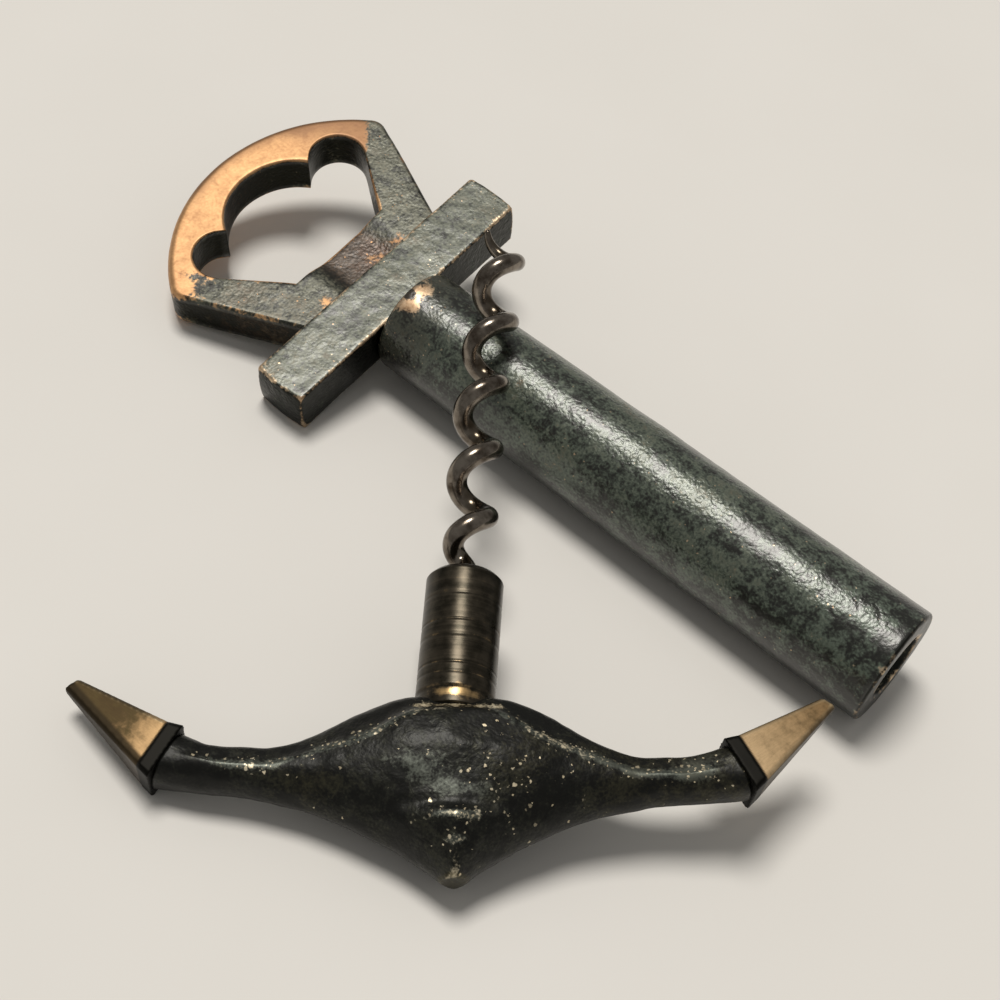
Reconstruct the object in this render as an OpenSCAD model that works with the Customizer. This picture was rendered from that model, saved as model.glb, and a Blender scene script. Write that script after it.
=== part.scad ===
// Anchor corkscrew in two halves that part: a sheath whose end ring lifts crown caps,
// and a screw whose anchor arms are the handle. It lies on a table with the screw drawn out.
// Millimetres. The origin is the centre of the sheath's mouth, +X points out of the mouth, +Z is up.

/* [Screw plug] */
// Diameter of the turned plug that slides in the sheath
plug_d = 11.4; // [10:0.1:13]
// Length of the plug from the crown to its top
plug_len = 19.6; // [16:0.2:24]
// Chamfer round the top of the plug
plug_chamfer = 0.8; // [0.6:0.1:2]
// Length of the plug's neck, which is let into the crown
neck_len = 2.4; // [1.5:0.1:4]
// Diameter of the spigot that fixes the plug in the crown
spigot_d = 6; // [4.5:0.1:7]
// Length of that spigot
spigot_len = 12; // [8:0.5:15]

/* [Worm] */
// Thickness of the worm's wire
wire_d = 3.2; // [2.6:0.1:3.4]
// Outside diameter of the worm's coil
worm_d = 8.4; // [7.6:0.1:8.6]
// Rise of the worm for each turn
worm_pitch = 12.1; // [10:0.1:14]
// Length of the worm above the plug
worm_len = 65.4; // [58:0.2:68]
// Turn of the coil where it leaves the plug, in degrees from the right arm
worm_phase = 36; // [-180:1:180]
// Sideways bend of the worm at its point, from use
worm_bow = 1.4; // [0:0.1:1.4]
// Depth of the worm's straight tail in the plug
tail_len = 14; // [11:0.5:15]
// Diameter of the pin through the plug and the tail
pin_d = 1.4; // [1:0.1:1.6]
// Height of that pin above the crown
pin_height = 7.5; // [7:0.5:11]

/* [Sheath tube] */
// Outside diameter of the tube at its mouth
tube_mouth_d = 20; // [18:0.5:24]
// Outside diameter of the tube at the stock
tube_neck_d = 18.2; // [16:0.2:20]
// Room in the bore past the worm's point
bore_spare = 5; // [2:0.1:10]
// Solid end of the tube behind the bore
tube_end = 9; // [4:0.5:14]
// Diameter of the tenon that fixes the tube in the stock
tenon_d = 5.6; // [4:0.1:6.4]
// Length of that tenon
tenon_len = 7; // [4:0.5:8]

/* [Stock] */
// Length of the crossbar
stock_len = 54.4; // [48:0.2:62]
// Width of the crossbar along the tube
stock_w = 9.8; // [9:0.1:14]
// Height of the crossbar
stock_h = 8.8; // [7.6:0.1:12]
// Height of the crossbar's middle above the bore's axis
stock_lift = 0.7; // [0:0.1:1]

/* [Opener ring] */
// Thickness of the ring
ring_t = 7.6; // [5:0.1:7.6]
// How far the ring sits to the far side of the stock's middle
ring_shift = 1; // [0:0.1:2]
// Reach of the ring from the stock to its crest
ring_reach = 36.2; // [34:0.2:40]
// Radius of the ring's outer arc
ring_arc_r = 30.5; // [29:0.5:34]
// Width of the ring where its legs meet the stock
ring_root_w = 32.2; // [30:0.2:36]
// How far each leg spreads for each millimetre from the stock
leg_spread = 0.46; // [0.4:0.01:0.5]
// Rounding of the ring's two outer corners
ring_corner_r = 3; // [1.5:0.1:4]
// Width of the base bar between the stock and the hole
base_bar_w = 7.7; // [6:0.1:9]
// Width of the hole along the base bar
hole_base_w = 20.6; // [16:0.2:22]
// Depth of the relief in each face of the base bar
base_relief = 1.1; // [0.4:0.1:1.6]
// Radius of the middle scallop that holds the cap
scallop_r = 12; // [11:0.1:12.6]
// Thickness of the ring at its crest
crest_w = 6; // [5:0.1:7]
// Radius of the two side lobes of the hole
lobe_r = 5; // [4.4:0.1:5.4]
// Distance between the two side lobes
lobe_gap = 28.4; // [27.4:0.2:29.4]
// Distance of the lobes from the stock
lobe_reach = 21.4; // [20:0.2:22.4]

/* [Anchor arms] */
// Depth of the crown from the plug's seat to the keel
crown_depth = 26.4; // [25:0.1:30]
// Thickness of the crown
crown_t = 17; // [15.6:0.1:19]
// How far the crown's face is hollowed, as a share of its thickness
crown_dent = 0.14; // [0:0.01:0.2]
// Drop from the plug's shoulder to the crown's top
crown_drop = 0.5; // [0.4:0.1:1.2]
// Half width of the crown's flat top beside the plug
seat_w = 5; // [4:0.1:7]
// Spread of each shoulder from the flat top to the arm
shoulder_w = 22; // [18:0.5:25]
// Drop of the shoulders from the plug's seat to the arms
shoulder_drop = 7.8; // [7:0.1:9]
// Depth of the arms' underside at their ends
arm_depth = 14.2; // [13:0.1:16]
// Distance from the middle to where the keel's curve runs out
keel_reach = 45; // [41:0.5:50]
// Thickness of each arm
arm_t = 7.8; // [7:0.1:8]
// How far the arms' top rises again at their ends
arm_rise = 2.6; // [1:0.1:4]
// Lean of the arms from square across the plug
arm_lean = 4; // [0:0.2:5]

/* [Flukes] */
// Distance from the middle to each fluke's shoulder
fluke_out = 39.4; // [37:0.2:43]
// Depth of the fluke's shoulder below the plug's seat
fluke_depth = 10; // [9:0.1:11]
// Angle of each fluke's shoulder from square across the arm
shoulder_angle = 29; // [24:1:34]
// Angle of each palm above the line across the arms
palm_angle = 38.6; // [32:0.2:44]
// Angle of the edge that ends each palm
tip_angle = 53; // [40:1:60]
// Length of each fluke's flat palm
palm_len = 15.9; // [12:0.1:18]
// Length of the chamfered collar between arm and palm
collar_len = 2; // [1:0.1:3]
// Width of the collar where it meets the arm
collar_w = 8.8; // [8:0.1:10]
// Width of the palm at the collar
palm_w = 7.7; // [6.4:0.1:8.4]
// Width of the palm at the tip
tip_w = 2.4; // [1.6:0.1:4]
// Thickness of the fluke at the collar
fluke_t = 8.2; // [8:0.1:9.4]
// Thickness of the fluke at the tip
tip_t = 2.4; // [1.6:0.1:4]
// Trim of the fluke's long edges
fluke_trim = 0.5; // [0.2:0.1:0.7]
// Diameter of the tenon that fixes each fluke in its arm
fluke_tenon_d = 3.6; // [3:0.1:4.2]
// Length of that tenon
fluke_tenon_len = 5; // [3:0.5:6]

/* [Fits] */
// Gap all round between the plug and the bore
plug_gap = 0.08; // [0.03:0.01:0.15]
// Gap all round in the fixed, brazed joints
braze_gap = 0.05; // [0.02:0.01:0.1]
// Gap between the worm and the tube that it leans on
lean_gap = 0.5; // [0.5:0.1:1]

/* [How it lies] */
// Turn of the screw on the table, from square across the tube
heading = 37.5; // [32:0.1:44]
// Distance from the stock to where the worm crosses the tube
cross_from_stock = 14.2; // [11:0.1:18]
// Distance from the crown to that crossing, along the worm
cross_reach = 70; // [64:0.2:76]

/* [Hidden] */
$fn = 64;

// Overshoot of cuts past the faces that they open
past = 1;

// Lengths along the sheath
bore_d = plug_d + 2 * plug_gap;
bore_depth = plug_len + worm_len + bore_spare;
tube_len = bore_depth + tube_end;
ring_x = -tube_len - stock_w;

// The sheath rolls on the table until one end of the stock touches it
mouth_r = tube_mouth_d / 2;
stock_edge = [sqrt(pow(stock_len / 2, 2) - pow(stock_h / 2, 2)), stock_h / 2 - stock_lift];
sheath_roll = asin(mouth_r / norm(stock_edge)) - atan2(stock_edge[1], stock_edge[0]);

// Worm
coil_r = (worm_d - wire_d) / 2;
worm_sides = 8;
rings_per_turn = 16;
worm_turns = worm_len / worm_pitch;
worm_steps = ceil(worm_turns * rings_per_turn);
flare_turns = 0.55;
point_turns = 0.7;
point_d = 0.5;
tail_steps = 3;
// The bend starts at a share of the worm's length and runs over another share
bend_from = 0.42;
bend_over = 0.5;
// How far the worm settles with the tube between two of its turns
turn_dip = 0.45;

// Crown and arms
arm_sides = 28;
arm_steps = 36;
keel_power = 2.7;
keel_extra = 1.4;
keel_round = 1.7;
top_round = 1.9;
seat_round = 0.7;
dent_at = 0.1;
dent_width = 0.4;
arm_flare = 30;
collar_lap = 0.5;
neck_d = plug_d - 2 * collar_lap;

// Where the screw lies: its axis passes over the tube, and its crown and left fluke rest on the table
function tube_r_at(x) = mouth_r + (mouth_r - tube_neck_d / 2) * x / tube_len;
cross_x = -(tube_len - cross_from_stock);
axis_gap = tube_r_at(cross_x) + worm_d / 2 + lean_gap - turn_dip;
function cross_z(lean) = axis_gap * sqrt(1 + pow(tan(lean) / cos(heading), 2));
// Lowest point of the crown below its middle
support_power = keel_round / (keel_round - 1);
function crown_support(lean) =
    pow(pow(crown_depth / 2 * sin(lean), support_power) + pow(crown_t / 2 * cos(lean), support_power),
        1 / support_power);
function lean_next(lean) =
    asin((cross_z(lean) + mouth_r - crown_support(lean)) / (cross_reach + crown_depth / 2));
lean_first = 10;
lean = lean_next(lean_next(lean_next(lean_next(lean_first))));
screw_axis = [-sin(heading) * cos(lean), cos(heading) * cos(lean), sin(lean)];
screw_at = [cross_x, 0, cross_z(lean)] - cross_reach * screw_axis;

// Shoulders, palms and tips of the flukes, in the plane of the arms
function dir(a) = [cos(a), sin(a)];
function side_dir(a) = [-sin(a), cos(a)];
arm_end = [fluke_out, -fluke_depth];
palm_at = arm_end + collar_len * dir(shoulder_angle);
tip_at = palm_at + palm_len * dir(palm_angle);
// Outer corner of the fluke's collar, which rests on the table on the left
heel = arm_end - collar_w / 2 * side_dir(shoulder_angle);
heel_turned = [heel[0] * cos(arm_lean) + heel[1] * sin(arm_lean),
    heel[1] * cos(arm_lean) - heel[0] * sin(arm_lean)];
heel_drop = (screw_at[2] + heel_turned[1] * sin(lean) + mouth_r) / cos(lean);
screw_roll = asin(heel_drop / norm([heel_turned[0], fluke_t / 2])) - atan2(fluke_t / 2, heel_turned[0]);

// Places the sheath's pieces, which are drawn with the stock level
module on_sheath() {
    rotate([sheath_roll, 0, 0]) children();
}

// Places the screw's pieces, which are drawn with the plug's axis along +Z and the right arm along +X
module on_screw() {
    translate(screw_at) rotate([lean - 90, 0, heading]) rotate([0, 0, -screw_roll]) children();
}

// Places the arms and flukes, which are drawn square across the plug
module on_arms() {
    on_screw() rotate([0, -arm_lean, 0]) children();
}

// Solid through rings of points, closed by flat ends
module loft(rings) {
    sides = len(rings[0]);
    last = (len(rings) - 1) * sides;
    walls = [for (k = [0 : len(rings) - 2], j = [0 : sides - 1])
        let (a = k * sides + j, b = k * sides + (j + 1) % sides)
        each [[a, b, a + sides], [b, b + sides, a + sides]]];
    start = [for (j = [1 : sides - 2]) [0, j + 1, j]];
    finish = [for (j = [1 : sides - 2]) [last, last + j, last + j + 1]];
    polyhedron([for (ring = rings) each ring], concat(walls, start, finish));
}

// Opener ring

// Points of an arc from one angle to another
function arc(centre, r, from, to, steps) =
    [for (k = [0 : steps]) let (a = from + (to - from) * k / steps) centre + r * [cos(a), sin(a)]];

// In the ring's plane: +X runs from the stock to the crest
ring_centre = ring_reach - ring_arc_r;
leg_angle = atan(leg_spread);
// Centre of the corner's rounding: inside the outer arc and inside the leg's line by the same radius
corner_line = ring_root_w / 2 - ring_corner_r / cos(leg_angle);
corner_b = leg_spread * corner_line - ring_centre;
corner_c = pow(ring_centre, 2) + pow(corner_line, 2) - pow(ring_arc_r - ring_corner_r, 2);
corner_a = 1 + pow(leg_spread, 2);
corner_x = (-corner_b + sqrt(pow(corner_b, 2) - corner_a * corner_c)) / corner_a;
corner = [corner_x, corner_line + leg_spread * corner_x];
corner_turn = atan2(corner[1], corner[0] - ring_centre);
corner_steps = 8;
crest_steps = 28;
// The throat's cut into each lobe, and the ledge at each end of the base bar's relief
lobe_lap = 0.1;
relief_lip = 0.4;

module ring_outline() {
    upper = arc(corner, ring_corner_r, 90 + leg_angle, corner_turn, corner_steps);
    crest = arc([ring_centre, 0], ring_arc_r, corner_turn, -corner_turn, crest_steps);
    lower = arc([corner[0], -corner[1]], ring_corner_r, -corner_turn, -90 - leg_angle, corner_steps);
    polygon(concat([[0, ring_root_w / 2]], upper, crest, lower, [[0, -ring_root_w / 2]]));
}

// Hole for the cap: a tapered throat, a middle scallop and two side lobes that leave a tooth between them
module ring_hole() {
    lobe_y = lobe_gap / 2;
    scallop_x = ring_reach - crest_w - scallop_r;
    throat = [lobe_reach - base_bar_w, lobe_y - hole_base_w / 2];
    // The throat's edge meets the lobe a little inside its tangent
    lobe_in = lobe_r - lobe_lap;
    throat_turn = atan2(throat[1], throat[0]) + asin(lobe_in / norm(throat));
    touch = [lobe_reach - lobe_in * sin(throat_turn), lobe_y + lobe_in * cos(throat_turn)];
    polygon([[base_bar_w, -hole_base_w / 2], [touch[0], -touch[1]], [lobe_reach, -lobe_y],
        [scallop_x, 0], [lobe_reach, lobe_y], touch, [base_bar_w, hole_base_w / 2]]);
    translate([scallop_x, 0]) circle(scallop_r);
    for (side = [-1, 1])
        translate([lobe_reach, side * lobe_y]) circle(lobe_r);
}

module opener_ring() {
    color("darkgoldenrod") on_sheath() translate([ring_x, ring_shift, 0]) rotate([0, 0, 180]) difference() {
        linear_extrude(ring_t, center = true) difference() {
            ring_outline();
            ring_hole();
        }
        for (face = [-1, 1])
            translate([base_bar_w / 2, 0, face * ring_t / 2])
                cube([base_bar_w + 2 * past, hole_base_w - 2 * relief_lip, 2 * base_relief], center = true);
    }
}

// Stock: a square bar with slightly domed ends
module stock_bar() {
    color("darkslategray") on_sheath() difference() {
        translate([-tube_len - stock_w / 2, 0, stock_lift]) intersection() {
            cube([stock_w, stock_len, stock_h], center = true);
            sphere(stock_len / 2, $fn = 96);
        }
        translate([-tube_len - tenon_len - braze_gap, 0, 0]) rotate([0, 90, 0])
            cylinder(tenon_len + braze_gap + past, d = tenon_d + 2 * braze_gap);
    }
}

// Tube: an anchor's shank, bored out as the sheath for the screw
module shank_tube() {
    color("dimgray") on_sheath() difference() {
        rotate([0, -90, 0]) union() {
            cylinder(tube_len, d1 = tube_mouth_d, d2 = tube_neck_d);
            cylinder(tube_len + tenon_len, d = tenon_d);
        }
        translate([past, 0, 0]) rotate([0, -90, 0]) cylinder(bore_depth + past, d = bore_d);
    }
}

// Anchor arms

// Smooth step from 0 to 1, and the share of a swell that fades from 1 in the middle to 0 at a place
function ease(x) = let (t = min(1, max(0, x))) t * t * (3 - 2 * t);
function fade(s, to) = 1 - ease(abs(s) / to);
function arm_top(s) = arm_rise * pow(max(0, abs(s) - arm_flare) / (fluke_out - arm_flare), 2)
    - crown_drop - shoulder_drop * ease((abs(s) - seat_w) / shoulder_w);
function arm_low(s) =
    -arm_depth - (crown_depth + keel_extra - arm_depth) * pow(1 - abs(s) / keel_reach, keel_power);
function arm_half_t(s) = arm_t / 2 + (crown_t - arm_t) / 2 * fade(s, seat_w + shoulder_w);
function arm_hollow(s, u) =
    1 - crown_dent * fade(s, shoulder_w / 2) * exp(-pow((u - dent_at) / dent_width, 2));
function power(x, k) = sign(x) * pow(abs(x), 2 / k);

// One ring of the casting, across the arm at a distance from the middle
function arm_ring(s) =
    let (mid = (arm_top(s) + arm_low(s)) / 2, half = (arm_top(s) - arm_low(s)) / 2)
    [for (j = [0 : arm_sides - 1])
        let (turn = 360 * j / arm_sides, c = cos(turn))
        let (k = c > 0 ? top_round + seat_round * fade(s, shoulder_w) : keel_round)
        [s, arm_half_t(s) * power(sin(turn), k) * arm_hollow(s, c), mid + half * power(c, k)]];

// The last ring lies square to the fluke that it carries
arm_end_h = arm_depth - crown_drop - shoulder_drop + arm_rise - collar_lap;
function arm_end_ring(side) =
    [for (j = [0 : arm_sides - 1])
        let (turn = 360 * j / arm_sides)
        let (p = arm_end + arm_end_h / 2 * power(cos(turn), top_round) * side_dir(shoulder_angle))
        [side * p[0], arm_t / 2 * power(sin(turn), top_round), p[1]]];

arm_edge = fluke_out - arm_end_h / 2 - collar_lap;
arm_stations = [for (k = [0 : arm_steps]) arm_edge * (2 * k / arm_steps - 1)];
arm_rings = concat([arm_end_ring(-1)], [for (s = arm_stations) arm_ring(s)], [arm_end_ring(1)]);

// Places a round tenon or its hole, from a fluke's shoulder into the arm
module at_tenon(side) {
    translate([side * arm_end[0], 0, arm_end[1]]) rotate([0, -side * (90 + shoulder_angle), 0]) children();
}

module anchor_arms() {
    color("darkslategray") difference() {
        on_arms() difference() {
            loft(arm_rings);
            translate([0, 0, -crown_depth - keel_extra])
                cube([2 * shoulder_w, crown_t, 2 * keel_extra], center = true);
            for (side = [-1, 1])
                at_tenon(side) translate([0, 0, -past])
                    cylinder(fluke_tenon_len + braze_gap + past, d = fluke_tenon_d + 2 * braze_gap);
        }
        on_screw() translate([0, 0, -spigot_len - braze_gap])
            cylinder(spigot_len + braze_gap + past, d = spigot_d + 2 * braze_gap);
        on_screw() translate([0, 0, -neck_len - braze_gap])
            cylinder(neck_len + braze_gap + past, d = neck_d + 2 * braze_gap);
    }
}

// Flukes

// One ring of a fluke: a rectangle with trimmed corners, square to a direction
function fluke_ring(side, at, angle, width, thick) =
    let (w = width / 2, t = thick / 2, c = fluke_trim)
    [for (q = [[w, t - c], [w - c, t], [c - w, t], [-w, t - c],
            [-w, c - t], [c - w, -t], [w - c, -t], [w, c - t]])
        let (p = at + q[0] * side_dir(angle))
        [side * p[0], q[1], p[1]]];

function fluke_rings(side) = [
    fluke_ring(side, arm_end, shoulder_angle, collar_w, fluke_t),
    fluke_ring(side, palm_at, shoulder_angle, palm_w, fluke_t),
    fluke_ring(side, tip_at, tip_angle, tip_w, tip_t)];

module fluke(side) {
    rings = fluke_rings(side);
    loft(side > 0 ? rings : [rings[2], rings[1], rings[0]]);
    at_tenon(side) translate([0, 0, -collar_len / 2])
        cylinder(fluke_tenon_len + collar_len / 2, d = fluke_tenon_d);
}

module left_fluke() {
    color("goldenrod") on_arms() fluke(-1);
}

module right_fluke() {
    color("goldenrod") on_arms() fluke(1);
}

// Plug
module screw_plug() {
    color("saddlebrown") on_screw() difference() {
        union() {
            cylinder(plug_len - plug_chamfer, d = plug_d);
            translate([0, 0, plug_len - plug_chamfer])
                cylinder(plug_chamfer, d1 = plug_d, d2 = plug_d - 2 * plug_chamfer);
            translate([0, 0, -neck_len]) cylinder(neck_len + past, d = neck_d);
            translate([0, 0, -spigot_len]) cylinder(spigot_len, d = spigot_d);
        }
        translate([0, 0, plug_len - tail_len - braze_gap])
            cylinder(tail_len + braze_gap + past, d = wire_d + 2 * braze_gap);
        translate([0, 0, pin_height]) rotate([0, 90, 0])
            cylinder(plug_d + 2 * past, d = pin_d + 2 * braze_gap, center = true);
    }
}

// Worm: a straight tail in the plug, then a right-handed coil that tapers to a point

function worm_turn(n) = n * worm_turns / worm_steps;
function worm_angle(n) = worm_phase + 360 * worm_turn(n);
function worm_place(n) =
    n < 0 ? [0, 0, plug_len + tail_len * n / tail_steps] :
    let (r = coil_r * ease(worm_turn(n) / flare_turns), a = worm_angle(n), share = n / worm_steps)
    [r * cos(a) + worm_bow * ease((share - bend_from) / bend_over), r * sin(a), plug_len + worm_len * share];
function worm_thick(n) =
    let (left = worm_turns - worm_turn(n))
    left < point_turns ? point_d + (wire_d - point_d) * sqrt(left / point_turns) : wire_d;

// One ring of the wire, square to its path
function worm_ring(n) =
    let (
        ahead = min(worm_steps, n + 1),
        back = max(-tail_steps, n - 1),
        way = n < 0 ? [0, 0, 1] : worm_place(ahead) - worm_place(back),
        along = way / norm(way),
        a = worm_angle(max(0, n)),
        out = [cos(a), sin(a), 0],
        flat = out - (out * along) * along,
        side = flat / norm(flat),
        up = cross(along, side))
    [for (j = [0 : worm_sides - 1]) let (turn = 360 * j / worm_sides)
        worm_place(n) + worm_thick(n) / 2 * (cos(turn) * side + sin(turn) * up)];

worm_centres = [for (n = [0 : worm_steps]) worm_place(n)];
worm_gap = min([for (i = [0 : worm_steps], j = [i + rings_per_turn / 2 : worm_steps])
    norm(worm_centres[i] - worm_centres[j])]) - wire_d;
echo(worm_gap = worm_gap);
echo(plug_at = screw_at, plug_axis = screw_axis, lean = lean, roll = screw_roll, sheath_roll = sheath_roll);

module worm() {
    color("silver") on_screw() difference() {
        loft([for (n = [-tail_steps : worm_steps]) worm_ring(n)]);
        translate([0, 0, pin_height]) rotate([0, 90, 0])
            cylinder(plug_d, d = pin_d + 2 * braze_gap, center = true);
    }
}

module worm_pin() {
    color("gold") on_screw() translate([0, 0, pin_height]) rotate([0, 90, 0])
        cylinder(plug_d - 2 * plug_gap, d = pin_d, center = true);
}

opener_ring();
stock_bar();
shank_tube();
anchor_arms();
left_fluke();
right_fluke();
screw_plug();
worm();
worm_pin();
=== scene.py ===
import functools
import math
import bmesh
import bpy
import numpy as np
from mathutils import Matrix, Vector, noise


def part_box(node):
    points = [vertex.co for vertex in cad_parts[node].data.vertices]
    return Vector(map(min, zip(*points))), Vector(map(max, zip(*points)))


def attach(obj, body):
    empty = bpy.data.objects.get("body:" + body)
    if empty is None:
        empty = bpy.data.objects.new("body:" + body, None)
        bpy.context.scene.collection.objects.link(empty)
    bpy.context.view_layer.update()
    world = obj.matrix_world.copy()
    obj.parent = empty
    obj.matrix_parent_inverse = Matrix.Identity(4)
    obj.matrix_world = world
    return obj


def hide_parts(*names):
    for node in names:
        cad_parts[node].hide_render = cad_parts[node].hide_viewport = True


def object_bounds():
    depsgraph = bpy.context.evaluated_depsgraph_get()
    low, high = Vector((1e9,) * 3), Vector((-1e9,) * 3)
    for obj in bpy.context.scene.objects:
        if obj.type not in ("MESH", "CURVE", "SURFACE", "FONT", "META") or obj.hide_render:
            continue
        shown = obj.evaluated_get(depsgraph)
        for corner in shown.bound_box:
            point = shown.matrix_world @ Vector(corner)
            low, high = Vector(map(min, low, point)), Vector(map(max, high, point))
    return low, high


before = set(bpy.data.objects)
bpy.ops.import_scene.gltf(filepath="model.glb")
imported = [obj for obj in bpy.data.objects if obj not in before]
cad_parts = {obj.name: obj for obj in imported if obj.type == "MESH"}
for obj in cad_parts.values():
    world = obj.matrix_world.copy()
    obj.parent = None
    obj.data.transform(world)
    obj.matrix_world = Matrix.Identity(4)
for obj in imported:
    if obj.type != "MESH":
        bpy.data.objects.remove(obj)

cadLow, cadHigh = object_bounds()  # the CAD box, before anything is dressed
print("frame loaded:", len(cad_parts), "nodes")

mm = 0.001
fullTurn = 2 * math.pi
quarterTurn = math.pi / 2
tiny = 1e-6
scene = bpy.context.scene
scene.view_settings.view_transform = "Standard"
smooth = {"interpolation_type": "SMOOTHSTEP"}
multiply = {"operation": "MULTIPLY"}
multiplyAdd = {"operation": "MULTIPLY_ADD"}
rgba = {"data_type": "RGBA"}


def linear(hexColour):  # sRGB hex to linear colour
    parts = [int(hexColour[i:i + 2], 16) / 255 for i in (1, 3, 5)]
    return [c / 12.92 if c <= 0.04045 else ((c + 0.055) / 1.055) ** 2.4 for c in parts] + [1.0]


# Adds one node, sets it and links it. Mix has its factor at 0, colours at 6 and 7 and numbers at 2 and 3
def put(tree, kind, inputs=None, **settings):
    node = tree.nodes.new("ShaderNode" + kind)
    for key, value in settings.items():
        setattr(node, key, value)
    for key, value in (inputs or {}).items():
        if isinstance(value, bpy.types.NodeSocket):
            tree.links.new(value, node.inputs[key])
        else:
            node.inputs[key].default_value = value
    return node.outputs


def newMaterial(name):  # the material, what adds a node to it, and places on the object
    material = bpy.data.materials.new(name)
    material.use_nodes = True
    material.node_tree.nodes.clear()
    add = functools.partial(put, material.node_tree)
    return material, add, add("TexCoord")["Object"]


def spin(degrees, axis):
    return Matrix.Rotation(math.radians(degrees), 4, axis)


def ease(x):  # smooth step from 0 to 1
    t = np.clip(x, 0, 1)
    return t * t * (3 - 2 * t)


def ramp(x, start, length):  # smooth step over a length
    return ease((x - start) / length)


# How the two halves lie, the same as in the part's source, in millimetres and degrees
lie = {
    "sheathRoll": 13.8094, "plugAt": (-42.9159, -54.5844, 0.955364),
    "heading": 37.5, "lean": 10.6151, "screwRoll": 5.57816, "armLean": 4,
}
sheathPose = spin(lie["sheathRoll"], "X")
screwPose = (Matrix.Translation(lie["plugAt"]) @ spin(lie["heading"], "Z")
             @ spin(lie["lean"] - 90, "X") @ spin(-lie["screwRoll"], "Z"))
armsPose = screwPose @ spin(-lie["armLean"], "Y")

# Camera, at the photograph's viewing angle
shot = {
    "at": (24.85, -185.94, 210.63), "azimuth": 27.84, "elevation": 48.29, "roll": 15.37,
    "focalPixels": 1800, "imagePixels": 1000, "sensor": 36,
}
cameraData = bpy.data.cameras.new("benchCamera")
cameraData.sensor_width = shot["sensor"]
cameraData.lens = shot["sensor"] * shot["focalPixels"] / shot["imagePixels"]
cameraData.clip_start = 0.01
camera = bpy.data.objects.new("benchCamera", cameraData)
camera.matrix_world = (Matrix.Translation(Vector(shot["at"]) * mm) @ spin(shot["azimuth"], "Z")
                       @ spin(90 - shot["elevation"], "X") @ spin(shot["roll"], "Z"))
scene.collection.objects.link(camera)
scene.camera = camera

# Light: a wide soft lamp overhead, as even over the floor as far off daylight, and an even room
lamp = {
    "from": (-0.257, 0.028, 0.964), "width": 22, "strength": 2.25, "colour": "#fffaf3",
    "room": 0.3, "roomColour": "#f4f1ec",
}
lampData = bpy.data.lights.new("softLamp", "SUN")
lampData.angle = math.radians(lamp["width"])
lampData.energy = lamp["strength"]
lampData.color = linear(lamp["colour"])[:3]
softLamp = bpy.data.objects.new("softLamp", lampData)
softLamp.rotation_euler = (-Vector(lamp["from"])).to_track_quat("-Z", "Y").to_euler()
scene.collection.objects.link(softLamp)
world = bpy.data.worlds.new("room")
world.use_nodes = True
world.node_tree.nodes.clear()
room = put(world.node_tree, "Background", {"Color": linear(lamp["roomColour"]), "Strength": lamp["room"]})
put(world.node_tree, "OutputWorld", {"Surface": room["Background"]})
scene.world = world
print("camera and light set")


# Faces of a grid whose columns close on themselves; its rows close too, or else both ends are capped
def gridFaces(rows, cols, loopRows=False):
    faces = []
    for r in range(rows if loopRows else rows - 1):
        here, there = r * cols, (r + 1) % rows * cols
        for c in range(cols):
            nextC = (c + 1) % cols
            faces.append((here + c, here + nextC, there + nextC, there + c))
    if not loopRows:
        faces.append(tuple(range(cols)))
        faces.append(tuple(range((rows - 1) * cols, rows * cols)))
    return faces


def turnsOf(count):
    return np.arange(count) * fullTurn / count


def lathe(profile, cols):  # rows of (along, radius) spun round: the place along, the sine and cosine parts
    turns = turnsOf(cols)
    return (np.repeat(profile[:, 0], cols), np.outer(profile[:, 1], np.sin(turns)).ravel(),
            np.outer(profile[:, 1], np.cos(turns)).ravel())


def makePiece(name, points, faces, pose):
    turned = np.asarray(points) @ np.array(pose.to_3x3()).T + np.array(pose.translation)
    mesh = bpy.data.meshes.new(name)
    mesh.from_pydata((turned * mm).tolist(), [], faces)
    shell = bmesh.new()
    shell.from_mesh(mesh)
    bmesh.ops.recalc_face_normals(shell, faces=shell.faces)
    shell.to_mesh(mesh)
    shell.free()
    mesh.shade_smooth()
    piece = bpy.data.objects.new(name, mesh)
    scene.collection.objects.link(piece)
    return piece


# The CAD solid with its sharp edges melted, as a casting or a file leaves them
def softCopy(name, node, voxel, rounds):
    piece = bpy.data.objects.new(name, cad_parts[node].data.copy())
    scene.collection.objects.link(piece)
    melt = piece.modifiers.new("melt", "REMESH")
    melt.mode = "VOXEL"
    melt.voxel_size = voxel * mm
    soften = piece.modifiers.new("soften", "SMOOTH")
    soften.factor = 0.5
    soften.iterations = rounds
    melted = piece.evaluated_get(bpy.context.evaluated_depsgraph_get())
    mesh = bpy.data.meshes.new_from_object(melted)
    piece.modifiers.clear()
    piece.data = mesh
    mesh.name = name
    mesh.shade_smooth()
    return piece


def readMesh(mesh):
    count = len(mesh.vertices)
    points, normals = np.empty(count * 3), np.empty(count * 3)
    mesh.vertices.foreach_get("co", points)
    mesh.vertices.foreach_get("normal", normals)
    return points.reshape(-1, 3), normals.reshape(-1, 3)


def moveMesh(mesh, points):
    mesh.vertices.foreach_set("co", points.ravel())
    mesh.update()


def localMesh(mesh, pose):  # points in millimetres and normals, in the pose's own axes
    points, normals = readMesh(mesh)
    turn = np.array(pose.to_3x3())
    return (points / mm - np.array(pose.translation)) @ turn, normals @ turn


seedShift = Vector((7.3, 3.1, 5.7))  # how far one seed's noise lies from the next


def wave(points, size, seed):  # smooth noise from -1 to 1 for points in millimetres
    return np.array([noise.noise(Vector(p) / size + seedShift * seed) for p in points])


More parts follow.
